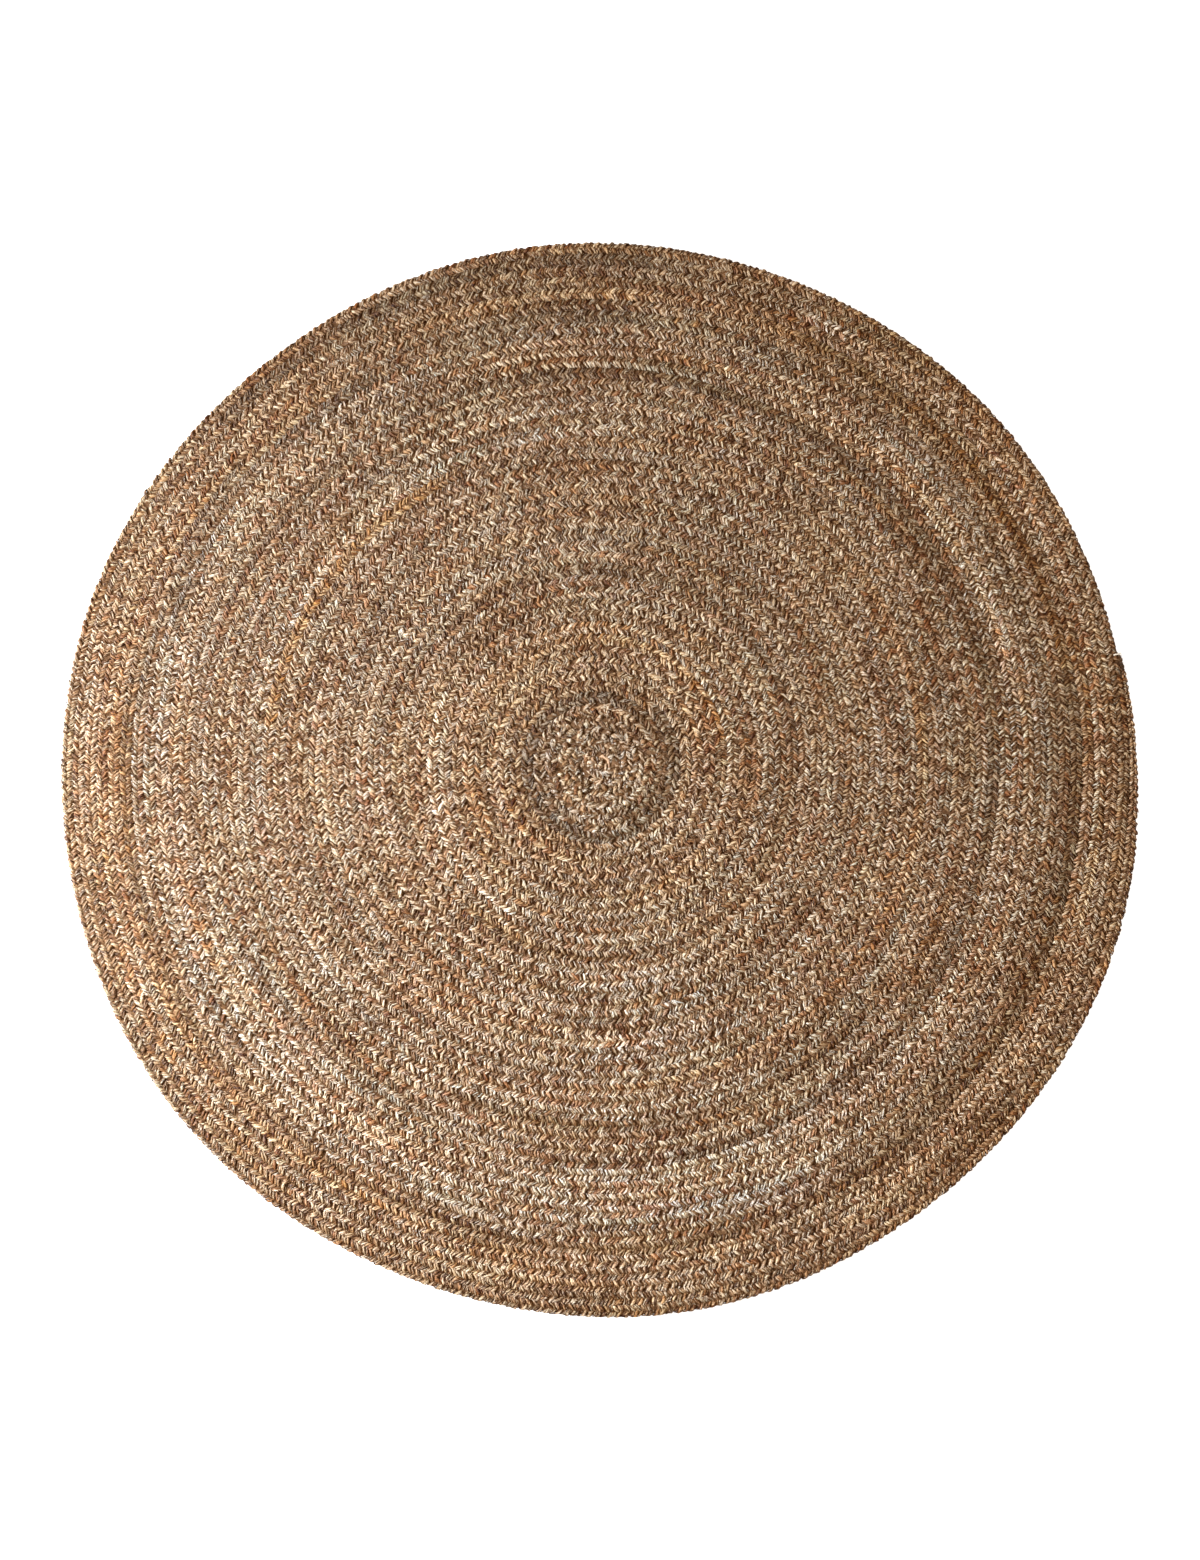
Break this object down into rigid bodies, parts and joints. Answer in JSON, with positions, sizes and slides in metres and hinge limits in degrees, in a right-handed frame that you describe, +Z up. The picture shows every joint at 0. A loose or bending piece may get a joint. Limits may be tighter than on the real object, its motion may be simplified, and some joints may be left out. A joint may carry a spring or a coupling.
{
  "type": "round braided plastic rug",
  "caption": "Flat round rug of one heathered plastic-yarn braid, wound in a spiral from the middle and sewn edge to edge, with a narrowed, tucked outer end.",
  "frame": {"origin": "middle of the rug's outline box, on the floor plane", "axes": "+Z up from the floor; the braid's outer end lies 12 degrees from +X toward +Y, and the braid winds outward counterclockwise seen from above"},
  "size_m": [1.8316, 1.8344, 0.0095],
  "materials": {
    "braid": "matte space-dyed plastic yarn in browns, tan, cream and rust, in a flat braid with a fine V of stitches along every turn"
  },
  "bodies": {
    "root": {"braided_coil": "braid"}
  },
  "joints": []
}
